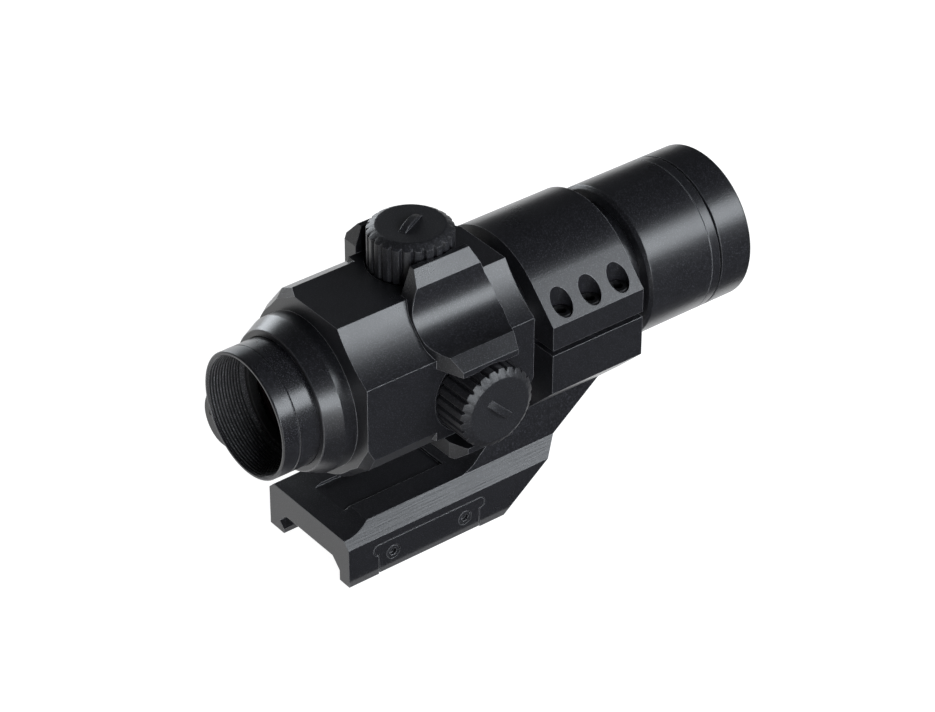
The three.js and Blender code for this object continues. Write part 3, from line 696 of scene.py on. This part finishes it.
# Centres (y, z) of the upper bar's four corners, the lower rear one first.
HEAD_CENTRES = ((24.0, -38.3), (52.2, -38.3), (52.2, -38.0), (24.0, -38.0))
HEAD_RADIUS = 1.2


def rounded_head(grow):
    """The outline of the clamp plate's upper bar, grown all round."""
    outline = []
    for quarter, (y, z) in enumerate(HEAD_CENTRES):
        start = 180 + 90 * quarter
        outline += arc(y, z, HEAD_RADIUS + grow, start, start + 90, 8)
    return outline


def mount_base():
    shoulder = BASE_TOP - BASE_BEVEL
    profile = [
        (-BASE_HALF, BASE_BOTTOM), (BASE_HALF, BASE_BOTTOM), (BASE_HALF, shoulder),
        (BASE_HALF - BASE_BEVEL, BASE_TOP), (-BASE_HALF + BASE_BEVEL, BASE_TOP),
        (-BASE_HALF, shoulder),
    ]
    front = FRONT_FOOT + (BASE_TOP - BASE_BOTTOM) / FRONT_SLOPE
    base = along_y(profile, BASE_START, front)
    ramp = along_x([
        (BASE_START - 1, SCOOP_FLOOR),
        *arc(BASE_START + 0.5, SCOOP_FLOOR + SCOOP_RADIUS, SCOOP_RADIUS, 270, 304, 24),
        (BASE_START - 1, BASE_TOP + 3),
    ], -20, 20)
    channel = block(-CHANNEL_HALF, CHANNEL_HALF, BASE_START - 1, 49, CHANNEL_FLOOR, BASE_TOP + 1)
    return cut(base, ramp, channel)


def mount_body():
    foot = BASE_BOTTOM + FRONT_SLOPE
    web_front = foot + (RING_END - FRONT_FOOT - 1) * FRONT_SLOPE
    riser = along_x([
        (WEB_START, BASE_TOP - 3), (WEB_START, BASE_TOP - 0.1), (49.6, BASE_TOP - 0.1),
        *arc(47.6, -23.1, 8.6, 284, 322, 20), (60, -22.7), (68, WEB_TOP), (RING_END, WEB_TOP),
        (RING_END, web_front), (FRONT_FOOT + 1, foot), (FRONT_FOOT - 8, foot),
    ], -WEB_HALF, WEB_HALF)
    cradle = along_y([
        (RING_SIDE, -0.9), (RING_SIDE, -11), (11.9, -20.9), (-11.9, -20.9), (-RING_SIDE, -11),
        (-RING_SIDE, -0.9),
    ], RING_START, RING_END)
    front = along_x([
        (FRONT_FOOT - 5, BASE_BOTTOM - 4), (FRONT_FOOT + 112.5, BASE_BOTTOM - 4),
        (FRONT_FOOT + 112.5, BASE_BOTTOM + 90),
    ], -30, 30)
    widest, widest_z = GROOVE_WIDEST
    tip, tip_z = JAW_TIP
    groove = along_y([
        (-GROOVE_MOUTH, SEAT), (-widest, widest_z), (-tip, tip_z), (-tip, BASE_BOTTOM - 1),
        (widest, BASE_BOTTOM - 1), (widest, widest_z), (GROOVE_MOUTH, SEAT),
    ], 0, 100)
    stem_start, stem_end = PLATE_STEM
    recess = joined(
        along_x(rounded_head(PLATE_GAP), PLATE_INNER - 0.3, 20),
        block(PLATE_INNER - 0.3, 20, stem_start - PLATE_GAP, stem_end + PLATE_GAP, -47, -38))
    bores = [rod(SCREW_HOLE, -9.6, 2, SCREW, UP, at) for at in RING_SCREWS]
    for at in CLAMP_SCREWS.values():
        bores.append(rod(SCREW_HOLE, -13.2, -8, SCREW, RIGHTWARD, at))
        bores.append(rod(1.9, -9, 20, SCREW, RIGHTWARD, at))
    body = cut(joined(mount_base(), riser, cradle), front, groove, recess,
               rod(RING_BORE, 0, 130, FINE), *bores)
    as_piece("mount_body_shell", body, "mount_body", (BLACK, MACHINED), lengthwise_bevel)


def lengthwise_bevel(face):
    """Picks the two long 45 degree bands at the top edges of the rail base."""
    n = face.normal
    low = face.calc_center_median().z < 12 * MM
    return 1 if low and abs(n.y) < 0.1 and 0.5 < n.z < 0.9 else 0


def clamp_plate():
    head = along_x(rounded_head(0), PLATE_INNER, BASE_HALF)
    foot = BASE_BOTTOM + 0.3
    hook = along_y([
        (PLATE_INNER, SEAT + 1), (PLATE_INNER, SEAT - 2.8), JAW_TIP,
        (JAW_TIP[0], foot), (BASE_HALF, foot), (BASE_HALF, SEAT + 1),
    ], *PLATE_STEM)
    holes = []
    for at in CLAMP_SCREWS.values():
        holes.append(rod(SCREW_HOLE, 0, 20, SCREW, RIGHTWARD, at))
        holes.append(rod(1.8, 13, 20, 48, RIGHTWARD, at))
    as_piece("clamp_plate_shell", cut(joined(head, hook), *holes), "clamp_plate", (MACHINED,))


mount_body()
clamp_plate()

# ---------------------------------------------------------------- eyepiece ring with its threads
EYE_RADIUS = 14.8
EYE_BORE = 13.7
EYE_LIP = 11.4
THREAD_START = 8.4
THREAD_END = 0.7
THREAD_PITCH = 0.75
THREAD_DEPTH = 0.42


def eyepiece_ring():
    """A turned ring whose bore is cut with fine thread rings; the crests are painted lighter as a
    painted highlight and the grooves darker as painted shade.
    """
    outer = [
        (EYE_BORE + 0.35, 0.0),
        (EYE_RADIUS - 0.25, 0.0),
        (EYE_RADIUS, 0.25),
        (EYE_RADIUS, 3.95),
        (EYE_RADIUS - 0.2, 4.05),
        (EYE_RADIUS - 0.2, 4.25),
        (EYE_RADIUS, 4.35),
        (EYE_RADIUS, 16.0),
        (EYE_RADIUS - 0.9, 16.0),
        (EYE_RADIUS - 0.9, 17.6),
        (EYE_RADIUS, 17.6),
        (EYE_RADIUS, 20.0),
        (EYE_LIP, 20.0),
        (EYE_LIP, 14.8),
        (EYE_BORE, 14.8),
        (EYE_BORE, 8.6),
    ]
    threads = []
    y = THREAD_START
    while y > THREAD_END:
        for depth, share in ((0, 0), (THREAD_DEPTH, 0.2), (THREAD_DEPTH, 0.4), (0, 0.6)):
            threads.append((EYE_BORE + depth, y - THREAD_PITCH * share))
        y -= THREAD_PITCH
    profile = softened(outer, 0.1) + [Vector(p) for p in threads]
    bm = bmesh.new()
    turned(bm, profile, FINE, about_optic)
    # Painted light: faces no further out than the bore (thread crests and the other inner faces)
    # take the lighter finish as a painted highlight; thread flanks and roots, and the floor of the
    # outer groove, take the inner black as painted shade.
    for face in bm.faces:
        middle = face.calc_center_median() - optic(0, 0, 0)
        depth = math.hypot(middle.x, middle.z) / MM - EYE_BORE
        if depth < THREAD_DEPTH + 0.01 and middle.y > 0.5 * MM:
            face.material_index = 1 if depth < 0.05 else 2
    finish_piece("eyepiece_ring_turned", bm, "eyepiece_ring", (GLOSSY, BORE_PAINTED_HIGHLIGHT, INNER),
                 smooth=24)


eyepiece_ring()
lathe("eyepiece_retainer_turned", "eyepiece_retainer", [
    (12.0, 9.4), (13.45, 9.4), (13.45, 11.5), (12.0, 11.5),
], INNER, size=0.3)
lathe("eyepiece_lens_ground", "eyepiece_lens", [
    (0, 11.8), (5, 11.86), (9, 11.98), (13.3, 12.2), (13.3, 14.4), (0, 14.4),
], GLASS, size=0.15)

# ---------------------------------------------------------------- objective end
BARREL = 18.4
lathe("objective_barrel_turned", "objective_barrel", [
    (15.15, 97.9), (17.6, 97.9), (BARREL, 98.7), (BARREL, 116.0), (BARREL - 0.16, 116.04),
    (BARREL - 0.16, 116.16), (BARREL, 116.2), (BARREL, 118.5), (BARREL - 0.7, 118.5),
    (BARREL - 0.7, 121.5), (15.2, 121.5), (15.2, 108), (13.8, 108), (13.8, 104.5),
    (15.15, 104.5),
], BLACK, segments=FINE, size=0.14)
lathe("objective_end_ring_turned", "objective_end_ring", [
    (18.0, 118.9), (BARREL, 119.1), (BARREL, 127.5), (BARREL - 0.45, 128.0), (16.9, 128.0),
    (16.4, 127.6), (16.4, 121.9), (18.0, 121.9),
], BLACK, segments=FINE, size=0.14)
lathe("objective_lens_ground", "objective_lens", [
    (0, 108.4), (14.9, 108.4), (14.9, 111.0), (11, 111.45), (7, 111.78), (3, 111.96), (0, 112.0),
], GLASS, size=0.15)
lathe("objective_retainer_turned", "objective_retainer", [
    (13.6, 112.4), (14.95, 112.4), (14.95, 114.4), (13.6, 114.4),
], INNER, size=0.3)

# ---------------------------------------------------------------- turret caps
CAP_TOP = 31.3
CAP_BASE = 21.6
CAP_RADIUS = 9.65
CAP_FACE = 7.8
CAP_BEVEL = 1.2
SKIRT_BORE = 8.65
INNER_BORE = 7.9
SCALLOPS = 24
GROOVE_SHARE = 0.24
BLADE_HALF = 3.9
BLADE_SIDE = 0.85
BLADE_BOW = 9.1


def scalloped(angle, radius, depth, count):
    """Radius of a grip with round grooves between broader ridges."""
    share = abs((angle * count / (2 * math.pi) + 0.5) % 1.0 - 0.5)
    if share > GROOVE_SHARE:
        return radius
    return radius - depth * (0.5 + 0.5 * math.cos(math.pi * share / GROOVE_SHARE)) ** 0.8


def grip_mesh(bm, rows_at, segments, place):
    """Rows of (radius, height) made for each angle, joined all round and closed."""
    columns = []
    for k in range(segments):
        angle = 2 * math.pi * k / segments
        columns.append([
            bm.verts.new(place(r * math.cos(angle), r * math.sin(angle), h))
            for r, h in rows_at(angle)
        ])
    skinned(bm, list(zip(*columns)))


def cap_rows(angle):
    radius = scalloped(angle, CAP_RADIUS, 0.68, SCALLOPS)
    slope = CAP_BEVEL / (CAP_RADIUS - CAP_FACE)
    shoulder = CAP_TOP - (radius - CAP_FACE) * slope
    return [
        (CAP_FACE - 0.5, CAP_TOP),
        (CAP_FACE - 0.12, CAP_TOP),
        (CAP_FACE + 0.08, CAP_TOP - 0.05),
        (radius - 0.16, shoulder + 0.10),
        (radius - 0.03, shoulder - 0.02),
        (radius, shoulder - 0.18),
        (radius, CAP_BASE + 0.35),
        (radius - 0.1, CAP_BASE + 0.1),
        (radius - 0.3, CAP_BASE),
        (SKIRT_BORE, CAP_BASE),
        (SKIRT_BORE, CAP_BASE + 0.65),
        (INNER_BORE, CAP_BASE + 0.65),
        (INNER_BORE, 29.2),
    ]


def coin_blade(bm, place):
    """The raised bar across the cap's face, with a bowed top and eased edges."""
    steps = 14
    side = BLADE_SIDE
    sections = []
    for i in range(steps + 1):
        along = BLADE_HALF * (2 * i / steps - 1)
        top = math.sqrt(BLADE_BOW ** 2 - along ** 2) - (BLADE_BOW - 1)
        ease = min(0.14, top * 0.5)
        outline = [(-side, -0.4), (-side, top - ease), (-side + ease, top),
                   (side - ease, top), (side, top - ease), (side, -0.4)]
        sections.append([bm.verts.new(place(a, along, CAP_TOP + h)) for a, h in outline])
    skinned(bm, sections)


def turret_place(side, turn):
    """Maps a cap's own coordinates to the row frame, upright or laid to the right."""
    c, s = math.cos(math.radians(turn)), math.sin(math.radians(turn))

    def place(a, b, h):
        u, v = a * c - b * s, a * s + b * c
        if side == "elevation":
            return optic(u, TURRET_Y + v, h)
        return optic(h, TURRET_Y + v, -u)

    return place


for side, turn in (("elevation", 26), ("windage", 135)):
    place = turret_place(side, turn)
    bm = bmesh.new()
    grip_mesh(bm, cap_rows, SCALLOPS * 14, place)
    coin_blade(bm, place)
    finish_piece(side + "_cap_fluted", bm, side + "_cap", (SATIN,), smooth=30)
    lathe(side + "_collar_turned", side + "_collar", [
        (2.1, 14.0), (6.2, 14.0), (6.2, 21.0), (9.75, 21.0), (9.75, 21.3), (7.5, 21.3),
        (7.5, 28.4), (6.4, 28.4), (6.4, 24.6), (2.1, 24.6),
    ], GLOSSY, segments=120, size=0.1, place=turret_place(side, 0))

# ---------------------------------------------------------------- battery cap
BATTERY_SCALLOPS = 18
COIN_SLOT_HALF = (4.5, 0.8)


def battery_rows(angle):
    radius = scalloped(angle, BATTERY_RADIUS, 0.42, BATTERY_SCALLOPS)
    return [
        (5.2, 7.4),
        (6.3, 7.4),
        (min(6.75, radius - 0.3), 7.75),
        (radius - 0.1, 8.5),
        (radius, 8.9),
        (radius, 16.0),
        (radius - 0.12, 16.3),
        (radius - 0.4, 16.4),
        (6.45, 16.4),
        (6.45, 17.7),
        (6.0, 17.7),
        (6.0, 18.9),
        (6.45, 18.9),
        (6.45, 20.7),
        (5.6, 20.7),
        (5.6, 10.4),
    ]


def battery_place(a, b, station):
    return Vector((BATTERY_X + a, station, BATTERY_Z + b))


def battery_cap():
    bm = bmesh.new()
    grip_mesh(bm, battery_rows, BATTERY_SCALLOPS * 12, battery_place)
    across, high = COIN_SLOT_HALF
    coin_slot = block(BATTERY_X - across, BATTERY_X + across, 0, 8.6,
                      BATTERY_Z - high, BATTERY_Z + high)
    as_piece("battery_cap_fluted", cut(solid(bm), coin_slot), "battery_cap", (SATIN,), smooth=30)


battery_cap()

# ---------------------------------------------------------------- CAD nodes that stay
for node, piece in frame["nodes"].items():
    piece.data.materials.clear()
    piece.data.materials.append(FINISHES[SLOT_OF[node]])


# ---------------------------------------------------------------- studio
def sheet(name, low, high, z, colour, glow):
    """A level sheet that gives its own even light."""
    mesh = bpy.data.meshes.new(name)
    mesh.from_pydata(
        [(low[0], low[1], z), (high[0], low[1], z), (high[0], high[1], z), (low[0], high[1], z)],
        [], [(0, 1, 2, 3)])
    m = Nodes(name + "_paper")
    m.set(Base_Color=(colour, colour, colour, 1), Roughness=1.0, Specular_IOR_Level=0.0,
          Emission_Color=(1, 1, 1, 1), Emission_Strength=glow)
    mesh.materials.append(m.material)
    plane = bpy.data.objects.new(name, mesh)
    bpy.context.scene.collection.objects.link(plane)
    return plane


LIGHT_COLOUR = (0.90, 0.95, 1.0)
LIGHTS_AIM = (0, 0.02, 0.035)


def softbox(name, direction, distance, size, power):
    """A soft rectangular light at a distance from the object, turned towards it."""
    data = bpy.data.lights.new(name, "AREA")
    data.shape = "RECTANGLE"
    data.size, data.size_y = size
    data.energy = power
    data.color = LIGHT_COLOUR
    light = bpy.data.objects.new(name, data)
    away = Vector(direction).normalized()
    light.location = Vector(LIGHTS_AIM) + away * distance
    light.rotation_mode = "QUATERNION"
    light.rotation_quaternion = away.to_track_quat("Z", "Y")
    bpy.context.scene.collection.objects.link(light)


def world(horizon, overhead):
    """Even light that is brighter near the horizon than overhead."""
    scene_world = bpy.data.worlds.new("studio")
    scene_world.use_nodes = True
    tree = scene_world.node_tree
    direction = tree.nodes.new("ShaderNodeTexCoord")
    split = tree.nodes.new("ShaderNodeSeparateXYZ")
    fade = tree.nodes.new("ShaderNodeMapRange")
    fade.interpolation_type = "SMOOTHSTEP"
    fade.inputs["From Min"].default_value = 0.02
    fade.inputs["From Max"].default_value = 0.40
    fade.inputs["To Min"].default_value = horizon
    fade.inputs["To Max"].default_value = overhead
    tree.links.new(direction.outputs["Generated"], split.inputs["Vector"])
    tree.links.new(split.outputs["Z"], fade.inputs["Value"])
    tree.links.new(fade.outputs["Result"], tree.nodes["Background"].inputs["Strength"])
    bpy.context.scene.world = scene_world


sheet("floor", (-4, -4), (4, 4), FLOOR_Z, 0.35, 0.97)
# The card darkens what the right side reflects. The camera doesn't see it.
card = sheet("dark_card", (0.0155, -0.05), (1.3, 1.3), FLOOR_Z + MM, 0.02, 0.03)
card.visible_camera = False
card.visible_shadow = False
softbox("key_box", (0.745, 0.485, 0.46), 0.85, (0.62, 0.36), 6)
softbox("side_box", (0.93, -0.28, 0.20), 0.9, (0.4, 0.3), 4.5)
softbox("left_box", (-0.92, 0.1, 0.22), 0.9, (0.5, 0.4), 4)
world(0.95, 0.5)
bpy.context.scene.view_settings.view_transform = "Standard"
